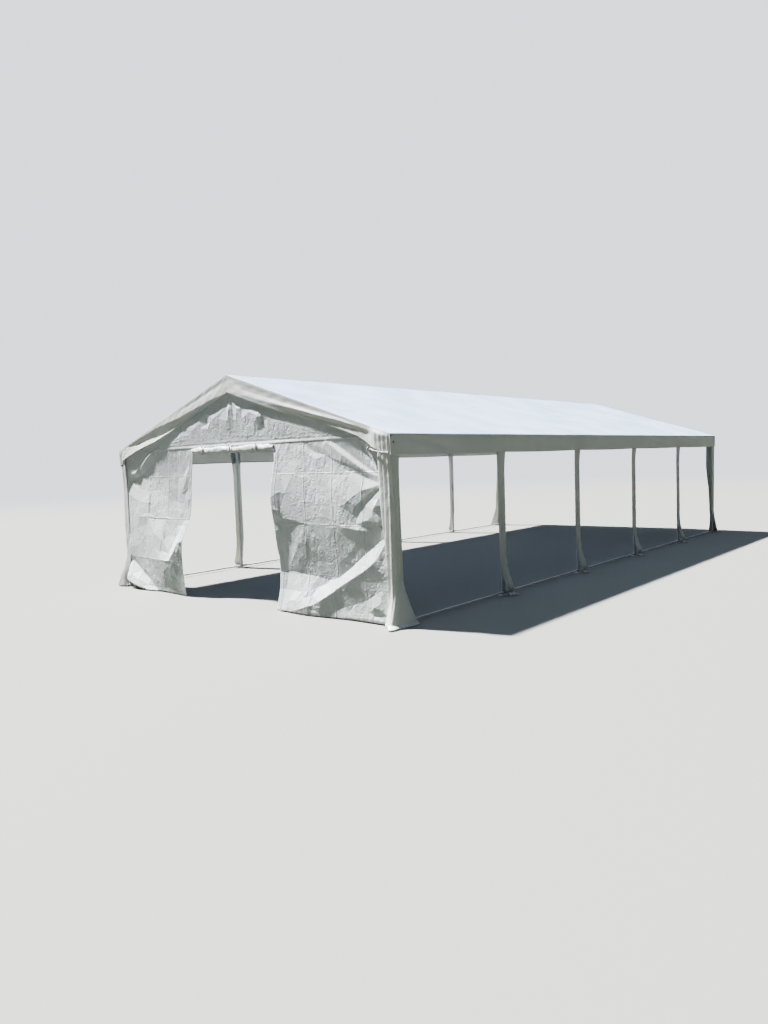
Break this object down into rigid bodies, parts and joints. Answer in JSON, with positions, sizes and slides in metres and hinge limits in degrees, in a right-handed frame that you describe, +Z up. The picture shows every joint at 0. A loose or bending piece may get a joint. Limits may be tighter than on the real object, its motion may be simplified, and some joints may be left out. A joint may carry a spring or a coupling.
{
  "type": "marquee tent",
  "caption": "White frame marquee with a pitched sheet roof, straight valances, covered legs, open sides and one gable wall with its door rolled up.",
  "frame": {"origin": "on the ground under the middle of the roof", "axes": "+Z up, +Y along the ridge towards the open back end, +X across to the right-hand side seen from the front gable"},
  "size_m": [5, 10, 2.735],
  "materials": {
    "frame_paint": "white powder coat, satin",
    "roof_cloth": "white woven plastic sheet, semi-gloss, creased",
    "cover_cloth": "white woven plastic sheet, semi-gloss",
    "wall_cloth": "white woven plastic sheet with fold creases",
    "tie_cord": "white braided cord"
  },
  "bodies": {
    "root": {"leg_left_1": "frame_paint", "leg_cover_left_1": "cover_cloth", "leg_left_2": "frame_paint", "leg_cover_left_2": "cover_cloth", "leg_left_3": "frame_paint", "leg_cover_left_3": "cover_cloth", "leg_left_4": "frame_paint", "leg_cover_left_4": "cover_cloth", "leg_left_5": "frame_paint", "leg_cover_left_5": "cover_cloth", "leg_left_6": "frame_paint", "leg_cover_left_6": "cover_cloth", "leg_right_1": "frame_paint", "leg_cover_right_1": "cover_cloth", "leg_right_2": "frame_paint", "leg_cover_right_2": "cover_cloth", "leg_right_3": "frame_paint", "leg_cover_right_3": "cover_cloth", "leg_right_4": "frame_paint", "leg_cover_right_4": "cover_cloth", "leg_right_5": "frame_paint", "leg_cover_right_5": "cover_cloth", "leg_right_6": "frame_paint", "leg_cover_right_6": "cover_cloth", "rafter_pair_1": "frame_paint", "rafter_pair_2": "frame_paint", "rafter_pair_3": "frame_paint", "rafter_pair_4": "frame_paint", "rafter_pair_5": "frame_paint", "rafter_pair_6": "frame_paint", "ridge_rail": "frame_paint", "eave_rail_left": "frame_paint", "eave_rail_right": "frame_paint", "base_rail_left": "frame_paint", "base_rail_right": "frame_paint", "roof_slope_left": "roof_cloth", "roof_slope_right": "roof_cloth", "side_valance_left": "roof_cloth", "side_valance_right": "roof_cloth", "front_fascia": "roof_cloth", "back_fascia": "roof_cloth", "gable_wall_left": "wall_cloth", "gable_wall_right": "wall_cloth", "gable_wall_top": "wall_cloth", "rolled_door": "wall_cloth", "corner_tie": "tie_cord"}
  },
  "joints": []
}
